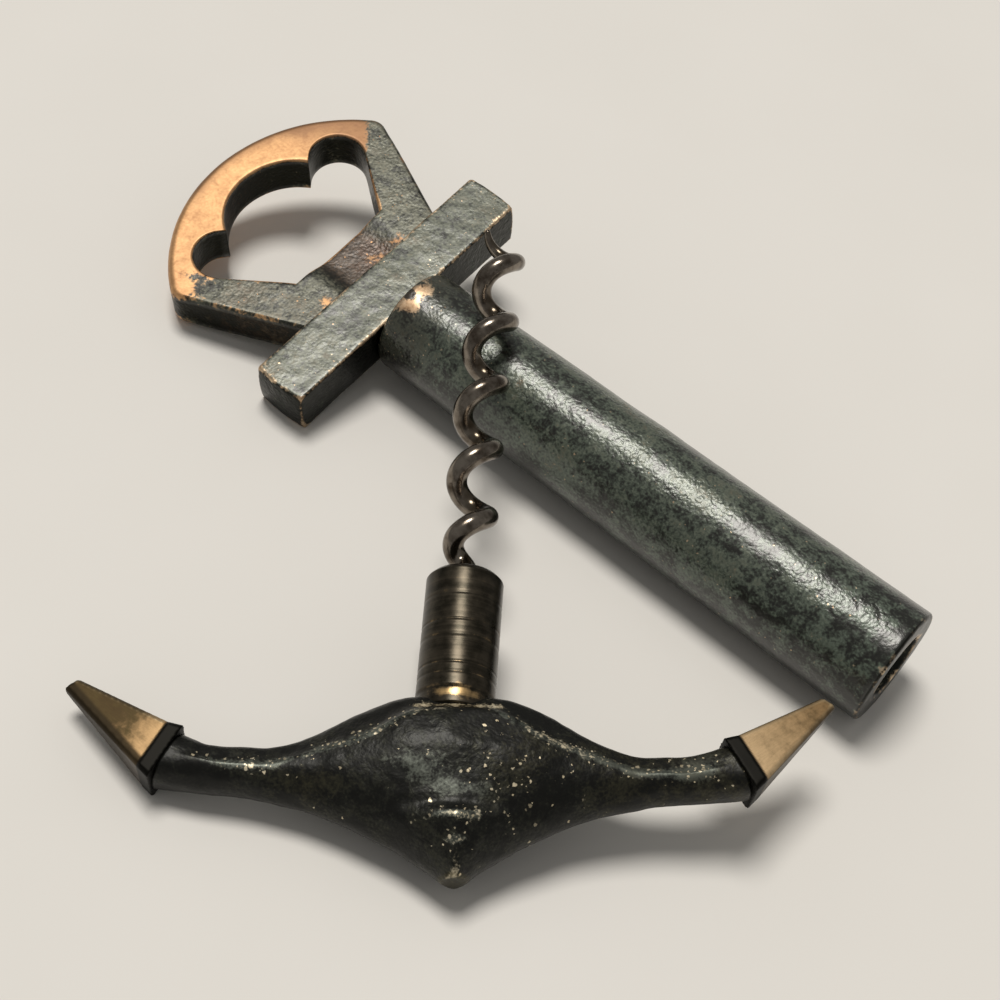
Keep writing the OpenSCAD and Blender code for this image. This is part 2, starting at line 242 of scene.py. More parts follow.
def castSkin(mesh, waves, seed, share=1.0):  # lumps and pits of a sand mould, from (size, height) pairs
    points, normals = readMesh(mesh)
    lift = sum(height * wave(points / mm, size, seed + i) for i, (size, height) in enumerate(waves))
    moveMesh(mesh, points + normals * (lift * share * mm)[:, None])


def paint(mesh, name, values):
    layer = mesh.attributes.new(name, "FLOAT", "POINT")
    layer.data.foreach_set("value", np.asarray(values, dtype=np.float32))


def paintLayers(mesh, layers, masks):  # each layer is a weighted sum of masks
    for layer, weights in layers.items():
        paint(mesh, layer, sum(weight * masks[mask] for mask, weight in weights.items()).ravel())


# Bend of the surface in 1/mm, from the mean step to the neighbours: above 0 on edges, below 0 in corners
def paintEdges(mesh, rounds=2, share=1.0):
    points, normals = readMesh(mesh)
    count = len(points)
    ends = np.empty(len(mesh.edges) * 2, dtype=np.int64)
    mesh.edges.foreach_get("vertices", ends)
    ends = ends.reshape(-1, 2)
    step = (points[ends[:, 1]] - points[ends[:, 0]]) / mm
    both = np.concatenate([ends[:, 0], ends[:, 1]])
    steps = np.concatenate([step, -step])
    near = np.maximum(np.bincount(both, minlength=count), 1)
    pull = np.stack([np.bincount(both, steps[:, k], count) / near for k in range(3)], axis=1)
    span = np.bincount(both, (steps ** 2).sum(1), count) / near
    mostBend = 4
    bend = np.clip(-4 * (pull * normals).sum(1) / np.maximum(span, tiny), -mostBend, mostBend)
    for _ in range(rounds):
        other = np.concatenate([bend[ends[:, 1]], bend[ends[:, 0]]])
        bend = 0.5 * bend + 0.5 * np.bincount(both, other, count) / near
    paint(mesh, "edge", bend * share)


def dress(piece, material, body, slot, *nodes):
    corners = [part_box(node) for node in nodes]
    lowest = np.min([low for low, _ in corners], axis=0)
    highest = np.max([high for _, high in corners], axis=0)
    points, _ = readMesh(piece.data)
    moveMesh(piece.data, np.clip(points, lowest, highest))  # the skin's lumps stay inside the solid's box
    piece.data.materials.clear()
    piece.data.materials.append(material)
    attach(piece, body)
    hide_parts(*nodes)


# How far each pattern of a casting reaches into the next
cast = {
    "mottleGain": 4.0, "gritGain": 2.0, "blotchGain": 3.2, "rubAndLightInTone": 0.5, "cloudsInRubAndLight": 0.42,
    "cloudsInStain": 0.3, "grainsInPolish": 0.3, "stirWide": 0.7, "stirFar": 0.8, "roughRange": 0.3,
    "pebble": 0.6, "pebbleDeep": 0.3,
    "noises": {
        "blotch": {"Detail": 3.0, "Roughness": 0.55},
        "mottle": {"Detail": 5.0, "Roughness": 0.62, "Distortion": 0.4},
        "grit": {"Detail": 2.0},
        "sand": {"Detail": 2.0, "Roughness": 0.6, "Distortion": 0.3},
    },
}


# Sand-cast bronze under an aged patina, waxed: a grainy skin that sparkles under a lamp, mottled dark and
# pale, paler where cloth rubs it and where light is painted in as pale tops and highlights, darker where
# shade is painted in on sides and undersides, coppery where the patina is thin, and bare metal on edges, high
# grains and where hands polish it
def castBronze(name, look):
    material, add, where = newMaterial(name)
    edge, polish, rubAndLight, stain, speck, tarnish = (
        add("Attribute", attribute_name=layer)["Fac"]
        for layer in ("edge", "polish", "rubAndLight", "stain", "speck", "tarnish"))
    blotch, mottle, grit, sand = (
        add("TexNoise", {"Vector": where, "Scale": 1 / (look[size] * mm), **settings})["Fac"]
        for size, settings in cast["noises"].items())
    # grains and clouds, both from about -1 to 1
    grains = add("Math", {0: mottle, 1: cast["mottleGain"], 2: -cast["mottleGain"] / 2}, **multiplyAdd)[0]
    grains = add("Math", {0: grit, 1: cast["gritGain"], 2: grains}, **multiplyAdd)[0]
    grains = add("Math", {0: grains, 1: cast["gritGain"] / 2}, operation="SUBTRACT")[0]
    clouds = add("Math", {0: blotch, 1: cast["blotchGain"], 2: -cast["blotchGain"] / 2}, **multiplyAdd)[0]
    clouds = add("Math", {0: clouds, 1: grains}, operation="ADD")[0]
    # patina, dark and pale, then rubbed and painted paler where lit and darker where shaded, stained, dark in
    # corners and grainy
    tone = add("Math", {0: rubAndLight, 1: cast["rubAndLightInTone"], 2: clouds}, **multiplyAdd)[0]
    paleShare = add("MapRange", {"Value": tone, "From Min": look["split"] - look["spread"],
                    "From Max": look["split"] + look["spread"]}, **smooth)["Result"]
    patina = add("Mix", {0: paleShare, 6: linear(look["deep"]), 7: linear(look["pale"])}, **rgba)[2]
    rubbingAndLight = add("Math", {0: clouds, 1: cast["cloudsInRubAndLight"], 2: rubAndLight}, **multiplyAdd)[0]
    rubbedAndLit = add("MapRange", {"Value": rubbingAndLight, "From Min": 0.3, "From Max": 1.1})["Result"]
    staining = add("Math", {0: clouds, 1: cast["cloudsInStain"], 2: stain}, **multiplyAdd)[0]
    stained = add("MapRange", {"Value": staining, "From Min": 0.2, "From Max": 0.95})["Result"]
    corner = add("MapRange", {"Value": edge, "From Min": -0.15, "From Max": -0.9, "To Max": 0.8})["Result"]
    for share, tint in ((rubbedAndLit, "rubbedAndLit"), (stained, "stain"), (corner, "deep")):
        patina = add("Mix", {0: share, 6: patina, 7: linear(look[tint])}, **rgba)[2]
    grainy = add("MapRange", {"Value": grit, "From Min": 0.3, "From Max": 0.7, "To Min": 0.72,
                 "To Max": 1.28})["Result"]
    patina = add("Mix", {0: 1.0, 6: patina, 7: grainy}, **rgba, blend_type="MULTIPLY")[2]
    # bare metal on the edges, on some high grains, and in the polished places
    wearing = add("Math", {0: clouds, 1: look["wearGrit"], 2: edge}, **multiplyAdd)[0]
    worn = add("MapRange", {"Value": wearing, "From Min": look["wearFrom"], "From Max": look["wearTo"],
               "To Max": look["wearMost"]}, **smooth)["Result"]
    stirScale = 1 / (cast["stirWide"] * look["speckGap"] * mm)
    stirReach = [cast["stirFar"] * look["speckGap"] * mm] * 3
    stir = add("TexNoise", {"Vector": where, "Scale": stirScale, "Detail": 1.0})["Color"]
    stirred = add("VectorMath", {0: stir, 1: stirReach, 2: where}, **multiplyAdd)["Vector"]
    cells = add("TexVoronoi", {"Vector": stirred, "Scale": 1 / (look["speckGap"] * mm)})
    lot = add("SeparateColor", {"Color": cells["Color"]})
    crowd = add("MapRange", {"Value": clouds, "From Min": -0.5, "From Max": 0.9, "To Min": 0.0,
                "To Max": 2.2})["Result"]
    crowd = add("Math", {0: crowd, 1: speck}, **multiply)[0]
    chosen = add("Math", {0: lot["Red"], 1: crowd}, operation="LESS_THAN")[0]
    spread = add("MapRange", {"Value": lot["Green"], "To Min": 2.0, "To Max": 0.7})["Result"]
    off = add("Math", {0: cells["Distance"], 1: spread}, **multiply)[0]
    dot = add("MapRange", {"Value": off, "From Min": 0.44, "From Max": 0.26}, **smooth)["Result"]
    strength = add("MapRange", {"Value": lot["Blue"], "To Min": 0.25, "To Max": 1.0})["Result"]
    specks = add("Math", {0: dot, 1: chosen}, **multiply)[0]
    specks = add("Math", {0: specks, 1: strength}, **multiply)[0]
    polishing = add("Math", {0: grains, 1: cast["grainsInPolish"], 2: polish}, **multiplyAdd)[0]
    polished = add("MapRange", {"Value": polishing, "From Min": 0.3, "From Max": 0.62}, **smooth)["Result"]
    bare = add("Math", {0: worn, 1: polished}, operation="MAXIMUM")[0]
    bare = add("Math", {0: bare, 1: specks}, operation="MAXIMUM")[0]
    warm = add("MapRange", {"Value": clouds, "From Min": -1.2, "From Max": 1.0})["Result"]
    metal = add("Mix", {0: warm, 6: linear(look["bareDark"]), 7: linear(look["bare"])}, **rgba)[2]
    metal = add("Mix", {0: tarnish, 6: metal, 7: linear(look["tarnish"])}, **rgba)[2]
    colour = add("Mix", {0: bare, 6: patina, 7: metal}, **rgba)[2]
    # painted shade: the lowest values of the rubbing and painted-light layer, on sides and undersides, make
    # the patina more metallic and so darker
    shaded = {"Value": rubAndLight, "From Min": -1.8, "From Max": -0.6}  # from the undersides to the sides
    under = add("MapRange", {**shaded, "To Min": 0.9, "To Max": look["metallic"]})["Result"]
    metallic = add("Mix", {0: bare, 2: under, 3: look["bareMetallic"]})[0]
    dull = add("Math", {0: mottle, 1: cast["roughRange"], 2: look["rough"] - cast["roughRange"] / 2},
               **multiplyAdd)[0]
    rough = add("Mix", {0: bare, 2: dull, 3: look["bareRough"]})[0]
    # sand grain, shallower where it is polished or rubbed
    patchy = add("MapRange", {"Value": blotch, "From Min": 0.38, "From Max": 0.62,
                 "To Min": 0.45})["Result"]
    flattened = add("MapRange", {"Value": polished, "To Min": 1.0, "To Max": 0.25})["Result"]
    depth = add("Math", {0: patchy, 1: flattened}, **multiply)[0]
    smoothed = add("MapRange", {"Value": rubAndLight, "From Min": 0.35, "From Max": 0.65, "To Min": 1.0,
                   "To Max": 0.4})["Result"]
    depth = add("Math", {0: depth, 1: smoothed}, **multiply)[0]
    pebbles = add("TexVoronoi", {"Vector": stirred, "Scale": 1 / (cast["pebble"] * mm)})["Distance"]
    relief = add("Math", {0: pebbles, 1: -cast["pebbleDeep"], 2: sand}, **multiplyAdd)[0]
    pits = add("Bump", {"Height": relief, "Distance": look["sandDeep"] * mm, "Strength": depth})["Normal"]
    # wax, thin on the undersides where shade is painted, and wiped off where it is rubbed and where light is
    # painted
    waxed = add("MapRange", {**shaded, "To Max": look["wax"]})["Result"]
    wiped = add("MapRange", {"Value": rubbedAndLit, "To Min": 1.0, "To Max": 0.1})["Result"]
    waxed = add("Math", {0: waxed, 1: wiped}, **multiply)[0]
    shader = add("BsdfPrincipled", {
        "Base Color": colour, "Metallic": metallic, "Roughness": rough, "Normal": pits,
        "Coat Weight": waxed, "Coat Roughness": look["waxRough"], "Coat Normal": pits})
    add("OutputMaterial", {"Surface": shader["BSDF"]})
    return material


# What the castings share, with pattern sizes and depths in millimetres
castLook = {
    "blotch": 7, "mottle": 1.8, "grit": 0.45, "sand": 1.7, "sandDeep": 0.17, "speckGap": 0.4,
    "split": 0.1, "spread": 0.8, "wearGrit": 0.8, "wearFrom": 1.0, "wearTo": 2.0,
}
greenBronze = castBronze("greenCastBronze", {
    "deep": "#12140d", "pale": "#556054", "rubbedAndLit": "#5a584b", "stain": "#2b2318",
    "bare": "#dcc3a3", "bareDark": "#a5805c", "tarnish": "#7d5f48", **castLook,
    "wearGrit": 0.7, "wearFrom": 0.8, "wearTo": 1.7, "wearMost": 0.8, "metallic": 0.3, "bareMetallic": 0.85,
    "rough": 0.36, "bareRough": 0.38, "wax": 0.65, "waxRough": 0.23,
})
ringBronze = castBronze("handWornCastBronze", {
    "deep": "#131309", "pale": "#525649", "rubbedAndLit": "#69675a", "stain": "#402d1d",
    "bare": "#d3a777", "bareDark": "#a67b53", "tarnish": "#7d5b41", **castLook,
    "wearMost": 0.9, "metallic": 0.35, "bareMetallic": 0.75, "rough": 0.38, "bareRough": 0.48,
    "wax": 0.2, "waxRough": 0.3,
})
blackBronze = castBronze("blackCastBronze", {
    "deep": "#0b0c08", "pale": "#24251d", "rubbedAndLit": "#666b63", "stain": "#33301f",
    "bare": "#f0e4c8", "bareDark": "#c4b084", "tarnish": "#6b583a", **castLook,
    "blotch": 6, "grit": 0.4, "sand": 1.6, "sandDeep": 0.13, "split": 0.2, "spread": 0.7, "speckGap": 0.64,
    "wearMost": 0.5, "metallic": 0.6, "bareMetallic": 0.55, "rough": 0.43, "bareRough": 0.4,
    "wax": 0.1, "waxRough": 0.35,
})

# Brass ground flat on a stone: a satin face with scratches along it, drawn coarser than real ones to be seen,
# browned by air towards the tip, painted brighter near the collar as a highlight with a painted glint on its
# edges there, with dark sides, a painted shade along the lower edge and a dark cast collar
groundLook = {
    "bright": "#b29166", "near": "#e6c699", "brown": "#3f3020", "olive": "#54482c", "dark": "#0d0c08",
    "side": "#2c2416", "glint": "#f3dcb0", "scratch": 0.22, "scratchDeep": 0.005, "scratchLong": 0.12,
    "cloud": 1.8, "cloudInAge": 2.4, "rough": 0.36, "agedRough": 0.14, "darkRough": 0.5,
}
groundBrass, add, where = newMaterial("groundBrass")
ground, along, across, edge, side, age, near = (
    add("Attribute", attribute_name=layer)["Fac"]
    for layer in ("ground", "along", "across", "edge", "side", "age", "near"))
cloud = add("TexNoise", {"Vector": where, "Scale": 1 / (groundLook["cloud"] * mm), "Detail": 5.0,
            "Roughness": 0.65})["Fac"]
drawnOut = add("Math", {0: along, 1: groundLook["scratchLong"]}, **multiply)[0]
lines = add("CombineXYZ", {"X": drawnOut, "Y": across})["Vector"]
scratch = add("TexNoise", {"Vector": lines, "Scale": 1 / groundLook["scratch"], "Detail": 3.0,
              "Roughness": 0.6})["Fac"]
age = add("Math", {0: cloud, 1: groundLook["cloudInAge"], 2: age}, **multiplyAdd)[0]
aged = add("MapRange", {"Value": age, "From Min": 1.0, "From Max": 2.6}, **smooth)["Result"]
brown = add("Mix", {0: cloud, 6: linear(groundLook["brown"]), 7: linear(groundLook["olive"])}, **rgba)[2]
# painted highlight: the face is brighter near the collar
bright = add("Mix", {0: near, 6: linear(groundLook["bright"]), 7: linear(groundLook["near"])}, **rgba)[2]
face = add("Mix", {0: aged, 6: bright, 7: brown}, **rgba)[2]
lined = add("MapRange", {"Value": scratch, "From Min": 0.35, "From Max": 0.65, "To Min": 0.92,
            "To Max": 1.05})["Result"]
face = add("Mix", {0: 1.0, 6: face, 7: lined}, **rgba, blend_type="MULTIPLY")[2]
glint = add("MapRange", {"Value": edge, "From Min": 0.5, "From Max": 1.6, "To Max": 0.6})["Result"]
fresh = add("MapRange", {"Value": aged, "To Min": 1.0, "To Max": 0.15})["Result"]
glint = add("Math", {0: glint, 1: ground}, **multiply)[0]
glint = add("Math", {0: glint, 1: fresh}, **multiply)[0]
face = add("Mix", {0: glint, 6: face, 7: linear(groundLook["glint"])}, **rgba)[2]
face = add("Mix", {0: side, 6: face, 7: linear(groundLook["side"])}, **rgba)[2]
colour = add("Mix", {0: ground, 6: linear(groundLook["dark"]), 7: face}, **rgba)[2]
satin = add("Math", {0: aged, 1: groundLook["agedRough"], 2: groundLook["rough"]}, **multiplyAdd)[0]
rough = add("Mix", {0: ground, 2: groundLook["darkRough"], 3: satin})[0]
bump = add("Bump", {"Height": scratch, "Distance": groundLook["scratchDeep"] * mm,
           "Strength": 1.0})["Normal"]
shader = add("BsdfPrincipled", {"Base Color": colour, "Metallic": 0.85, "Roughness": rough, "Normal": bump})
add("OutputMaterial", {"Surface": shader["BSDF"]})

# Bronze turned on a lathe and gone dark: rings all round, drawn coarser than real tool marks, and brass that
# shows through where the plug rubs in its bore, painted strongest at the front of the foot as a highlight and
# in thin bright lines at a few tool rings as painted glints
turnedLook = {
    "dark": "#26231b", "mid": "#453f35", "brass": "#b89a6c", "ring": 1.1, "ringDeep": 0.01, "ringShare": 0.4,
    "cloud": 2.2, "cloudShare": 0.6, "mixGain": 2.0, "rough": 0.3, "roughRange": 0.2,
}
turnedBronze, add, where = newMaterial("turnedBronze")
height, brassAndHighlight = (add("Attribute", attribute_name=layer)["Fac"] for layer in ("height", "brassAndHighlight"))
cloud = add("TexNoise", {"Vector": where, "Scale": 1 / (turnedLook["cloud"] * mm), "Detail": 4.0,
            "Roughness": 0.6})["Fac"]
rings = add("TexNoise", {"W": height, "Scale": 1 / turnedLook["ring"], "Detail": 3.0, "Roughness": 0.7},
            noise_dimensions="1D")["Fac"]
mixed = add("Math", {0: cloud, 1: turnedLook["cloudShare"]}, **multiply)[0]
mixed = add("Math", {0: rings, 1: turnedLook["ringShare"], 2: mixed}, **multiplyAdd)[0]
tone = add("MapRange", {"Value": mixed, "From Min": 0.36, "From Max": 0.64}, **smooth)["Result"]
bronze = add("Mix", {0: tone, 6: linear(turnedLook["dark"]), 7: linear(turnedLook["mid"])}, **rgba)[2]
showing = add("Math", {0: mixed, 1: turnedLook["mixGain"], 2: -turnedLook["mixGain"] / 2}, **multiplyAdd)[0]
showing = add("Math", {0: brassAndHighlight, 1: showing}, operation="ADD")[0]
showing = add("MapRange", {"Value": showing, "From Min": 0.3, "From Max": 0.8}, **smooth)["Result"]
colour = add("Mix", {0: showing, 6: bronze, 7: linear(turnedLook["brass"])}, **rgba)[2]
rough = add("Math", {0: cloud, 1: turnedLook["roughRange"],
            2: turnedLook["rough"] - turnedLook["roughRange"] / 2}, **multiplyAdd)[0]
bump = add("Bump", {"Height": rings, "Distance": turnedLook["ringDeep"] * mm, "Strength": 1.0})["Normal"]
shader = add("BsdfPrincipled", {"Base Color": colour, "Metallic": 0.85, "Roughness": rough, "Normal": bump})
add("OutputMaterial", {"Surface": shader["BSDF"]})

# Steel wire, nickel plated, with years of use: bright and smooth, greyed and browned in thin films, grime on
# the inside of the coil
nickelLook = {
    "bright": "#8b8379", "film": "#463d34", "brown": "#3a2f1b", "cloud": 2.6, "fleck": 0.6,
    "fleckDeep": 0.012, "rough": 0.21, "roughRange": 0.2,
}
nickelSteel, add, where = newMaterial("nickelPlatedSteel")
inner = add("Attribute", attribute_name="inner")["Fac"]
cloud = add("TexNoise", {"Vector": where, "Scale": 1 / (nickelLook["cloud"] * mm), "Detail": 4.0,
            "Roughness": 0.6})["Fac"]
fleck = add("TexNoise", {"Vector": where, "Scale": 1 / (nickelLook["fleck"] * mm), "Detail": 3.0,
            "Roughness": 0.6})["Fac"]
filmed = add("MapRange", {"Value": cloud, "From Min": 0.32, "From Max": 0.72}, **smooth)["Result"]
colour = add("Mix", {0: filmed, 6: linear(nickelLook["bright"]), 7: linear(nickelLook["film"])}, **rgba)[2]
browned = add("MapRange", {"Value": fleck, "From Min": 0.58, "From Max": 0.74, "To Max": 0.5},
              **smooth)["Result"]
browned = add("Math", {0: browned, 1: inner}, operation="MAXIMUM")[0]
colour = add("Mix", {0: browned, 6: colour, 7: linear(nickelLook["brown"])}, **rgba)[2]
rough = add("Math", {0: cloud, 1: nickelLook["roughRange"],
            2: nickelLook["rough"] - nickelLook["roughRange"] / 2}, **multiplyAdd)[0]
bump = add("Bump", {"Height": fleck, "Distance": nickelLook["fleckDeep"] * mm, "Strength": 1.0})["Normal"]
shader = add("BsdfPrincipled", {"Base Color": colour, "Metallic": 1.0, "Roughness": rough, "Normal": bump})
add("OutputMaterial", {"Surface": shader["BSDF"]})

# Pale painted board, matt: nearly even, with a faint cloud in the paint
boardLook = {"pale": "#e6e4e0", "cloudy": "#dfddd8", "cloud": 60, "rough": 0.8}
paintedBoard, add, where = newMaterial("paintedBoard")
cloud = add("TexNoise", {"Vector": where, "Scale": 1 / (boardLook["cloud"] * mm), "Detail": 3.0})["Fac"]
colour = add("Mix", {0: cloud, 6: linear(boardLook["pale"]), 7: linear(boardLook["cloudy"])}, **rgba)[2]
shader = add("BsdfPrincipled", {"Base Color": colour, "Roughness": boardLook["rough"]})
add("OutputMaterial", {"Surface": shader["BSDF"]})
print("materials made")

# Floor, in metres
floorReach = 6
floorCorners = [(-1, -1), (1, -1), (1, 1), (-1, 1)]
floorMesh = bpy.data.meshes.new("floor")
floorPoints = [(x * floorReach, y * floorReach, cadLow.z) for x, y in floorCorners]
floorMesh.from_pydata(floorPoints, [], [(0, 1, 2, 3)])
floorMesh.materials.append(paintedBoard)
floor = bpy.data.objects.new("floor", floorMesh)
scene.collection.objects.link(floor)

# Opener ring: a cast loop round the cap hole, swept along rays from a point inside the hole, the eye
ring = {
    "x": -108.8, "shift": 1, "thick": 7.6, "reach": 36.2, "arcR": 30.5, "rootW": 32.2, "spread": 0.46,
    "cornerR": 3, "baseW": 7.7, "holeBaseW": 20.6, "scallopR": 12, "crestW": 6,
    "lobeR": 5, "lobeGap": 28.4, "lobeReach": 21.4,
    "eyeX": 14, "rays": 720, "firstRay": 0.001, "wallSteps": (0, 0.35, 0.7), "topSteps": 15,
    "holeEdgeSteps": 5, "outEdgeSteps": 8,
    "crestRound": 1.3, "legRound": 0.7, "rootRound": 0.25, "holeRound": 0.5, "roundMost": 0.42,
    "crestFrom": 14, "crestRamp": 12, "rootX": 0.2,
    "sunkAt": -0.5, "sunkHalf": 3.6, "sunkRamp": 5.0, "sunkEnd": 0.5, "visibleRelief": 0.9, "sunkRub": 0.6,
    "skin": [(6, 0.1), (1.7, 0.03)], "skinSeed": 3, "polishFlat": 0.8,
    # painted shade darkens the hole wall and the outer wall, and painted light makes the flat faces pale
    "holeShade": -2.2, "topRubAndLight": 0.55, "outShade": -2.0, "edgeShade": -0.4, "outPolish": 0.18,
    "outEdgePolish": 0.5, "holePolishTurn": 1.2, "holeShadeTurn": 1.6, "outPolishTurn": 3.1, "outShadeTurn": 1.3,
    "polishFrom": 15.5, "polishNear": 7, "polishFar": 6, "polishSlant": 6,
    "speckled": (21.5, 21, 3, 1.8), "speckledDull": 0.5,
    "copper": [(1.0, 9.6, 1.8), (1.2, -3.0, 2.4), (1.0, -8, 1.5)],
    "tarnish": 0.75, "tarnishMost": 0.85, "tarnishOut": (0.45, 0.5), "tarnishNear": (-14, 8),
    "tarnishFar": (9, 10), "legNear": (9, 5), "legEnd": (-19, 6),
    "layers": {
        "polish": {"held": 1, "copper": 0.5},
        "tarnish": {"tarnished": 1},
        "rubAndLight": {"rubbedAndLit": 1},
        "stain": {"sunkTop": 0.8, "copper": 0.5, "nearLeg": 0.3},
        "speck": {"top": 0.04, "copper": 0.1, "speckled": 0.3},
    },
}


def circleExit(c, s, centre, radius):  # where a ray from the eye leaves a circle, or -1
    toward = c * (centre[0] - ring["eyeX"]) + s * centre[1]
    square = toward ** 2 - (centre[0] - ring["eyeX"]) ** 2 - centre[1] ** 2 + radius ** 2
    return np.where(square > 0, toward + np.sqrt(np.maximum(square, 0)), -1.0)


def lineExit(c, s, point, outward):  # where a ray from the eye crosses a line, or far off
    farOff = 1e6
    closing = c * outward[0] + s * outward[1]
    away = (point[0] - ring["eyeX"]) * outward[0] + point[1] * outward[1]
    return np.where(closing > tiny, away / np.maximum(closing, tiny), farOff)


def ringOutlines(angles):  # from the eye to the hole's edge and to the outer edge; the ring is even in y
    c, s = np.cos(angles), np.abs(np.sin(angles))
    turned = np.arctan2(s, c)
    lobe = (ring["lobeReach"], ring["lobeGap"] / 2)
    throat = (lobe[0] - ring["baseW"], lobe[1] - ring["holeBaseW"] / 2)
    slant = math.atan2(throat[1], throat[0]) + math.asin(ring["lobeR"] / math.hypot(*throat))
    touch = (lobe[0] - ring["lobeR"] * math.sin(slant), lobe[1] + ring["lobeR"] * math.cos(slant))
    scallop = (ring["reach"] - ring["crestW"] - ring["scallopR"], 0)
    front = np.maximum(circleExit(c, s, scallop, ring["scallopR"]), circleExit(c, s, lobe, ring["lobeR"]))
    cheek = lineExit(c, s, (ring["baseW"], ring["holeBaseW"] / 2), (-math.sin(slant), math.cos(slant)))
    rear = np.minimum(lineExit(c, s, (ring["baseW"], 0), (-1, 0)), cheek)
    hole = np.where(turned > math.atan2(touch[1], touch[0] - ring["eyeX"]), rear, front)
    arcX = ring["reach"] - ring["arcR"]
    lean = math.atan(ring["spread"])
    line = ring["rootW"] / 2 - ring["cornerR"] / math.cos(lean)
    a, b = 1 + ring["spread"] ** 2, ring["spread"] * line - arcX
    inside = arcX ** 2 + line ** 2 - (ring["arcR"] - ring["cornerR"]) ** 2
    cornerX = (-b + math.sqrt(b * b - a * inside)) / a
    corner = np.array([cornerX, line + ring["spread"] * cornerX])
    cornerTurn = math.atan2(corner[1], corner[0] - arcX)
    leg = lineExit(c, s, (0, ring["rootW"] / 2), (-math.sin(lean), math.cos(lean)))
    root = lineExit(c, s, (0, 0), (-1, 0))
    outer = np.minimum(np.minimum(root, circleExit(c, s, (arcX, 0), ring["arcR"])), leg)
    onArc = corner + ring["cornerR"] * np.array([math.cos(cornerTurn), math.sin(cornerTurn)])
    onLeg = corner + ring["cornerR"] * np.array([-math.sin(lean), math.cos(lean)])
    first, last = (math.atan2(p[1], p[0] - ring["eyeX"]) for p in (onArc, onLeg))
    outer = np.where((turned > first) & (turned < last), circleExit(c, s, corner, ring["cornerR"]), outer)
    return hole, outer


# One section from the hole out over the top: shares of the flat, of the two roundings and of the half
# thickness, how far each rounding drops, how much the place is polished, and its rubbing and painted light:
# pale flat faces, walls dark with painted shade
section = [(0, 0, 0, f, -f, 0, 0.0, ring["holeShade"]) for f in ring["wallSteps"]]
section += [(0, 1 - math.cos(t), 0, 1, math.sin(t) - 1, 0, t / ring["holePolishTurn"],
             t / ring["holeShadeTurn"] + ring["edgeShade"])
            for t in np.linspace(0, quarterTurn, ring["holeEdgeSteps"])]
section += [(u, 1, 0, 1, 0, 0, 1, ring["topRubAndLight"]) for u in np.linspace(0, 1, ring["topSteps"])[1:-1]]
section += [(1, 1, math.cos(t), 1, 0, math.sin(t) - 1, ring["outEdgePolish"] + t / ring["outPolishTurn"],
             t / ring["outShadeTurn"] + ring["edgeShade"])
            for t in np.linspace(quarterTurn, 0, ring["outEdgeSteps"])]
section += [(1, 1, 1, f, 0, -f, ring["outPolish"], ring["outShade"]) for f in ring["wallSteps"][::-1]]
upper = np.array(section)
lower = upper[-2:0:-1]
loop = np.concatenate([upper, lower])
updown = np.concatenate([np.ones(len(upper)), -np.ones(len(lower))])
flatAt, inAt, outAt, highAt, inDrop, outDrop, polishAt, rubAndLightAt = loop.T

angles = turnsOf(ring["rays"]) + ring["firstRay"]
hole, outer = ringOutlines(angles)
outerX = ring["eyeX"] + outer * np.cos(angles)
toCrest = ramp(outerX, ring["crestFrom"], ring["crestRamp"])
roundOut = ring["legRound"] + (ring["crestRound"] - ring["legRound"]) * toCrest
roundOut = np.where(outerX < ring["rootX"], ring["rootRound"], roundOut)
roundOut = np.minimum(roundOut, ring["roundMost"] * (outer - hole))[:, None]
roundIn = ring["holeRound"]
hole, outer = hole[:, None], outer[:, None]
out = hole + (outer - hole - roundIn - roundOut) * flatAt + roundIn * inAt + roundOut * outAt
ringX = ring["eyeX"] + out * np.cos(angles)[:, None]
ringY = out * np.sin(angles)[:, None]
sunk = 1 - ramp(np.abs(ringY - ring["sunkAt"]), ring["sunkHalf"], ring["sunkRamp"])
sunk *= 1 - ramp(ringX, ring["baseW"], ring["sunkEnd"])
half = ring["thick"] / 2 - ring["visibleRelief"] * sunk
ringZ = updown * (half * highAt + roundIn * inDrop + roundOut * outDrop)
points = np.stack([ringX, ringY, ringZ], axis=2).reshape(-1, 3)
ringPose = sheathPose @ Matrix.Translation((ring["x"], ring["shift"], 0)) @ spin(180, "Z")
ringPiece = makePiece("ringCasting", points, gridFaces(ring["rays"], len(loop), True), ringPose)
across = (out - hole) / (outer - hole)
polishStart = ring["polishFrom"] + np.where(ringY > 0, 0, ring["polishSlant"] * across)
polish = ease((ringX - polishStart) / np.where(ringY > 0, ring["polishNear"], ring["polishFar"])) * polishAt
spotX, spotY, spotLong, spotWide = ring["speckled"]
speckled = np.exp(-((ringX - spotX) / spotLong) ** 2 - ((ringY - spotY) / spotWide) ** 2)
polish = polish - ring["speckledDull"] * speckled
tarnish = ramp(across, *ring["tarnishOut"]) * ramp(-ringY, *ring["tarnishNear"])
tarnish = ring["tarnish"] * (tarnish + ramp(-ringY, *ring["tarnishFar"]))
onTop = (highAt == 1) * np.ones_like(polish)
copper = sum(np.exp(-((ringX - x) ** 2 + (ringY - y) ** 2) / r ** 2) for x, y, r in ring["copper"]) * onTop
skinShare = 1 - ring["polishFlat"] * np.clip(polish, 0, 1)
castSkin(ringPiece.data, ring["skin"], ring["skinSeed"], skinShare.ravel())
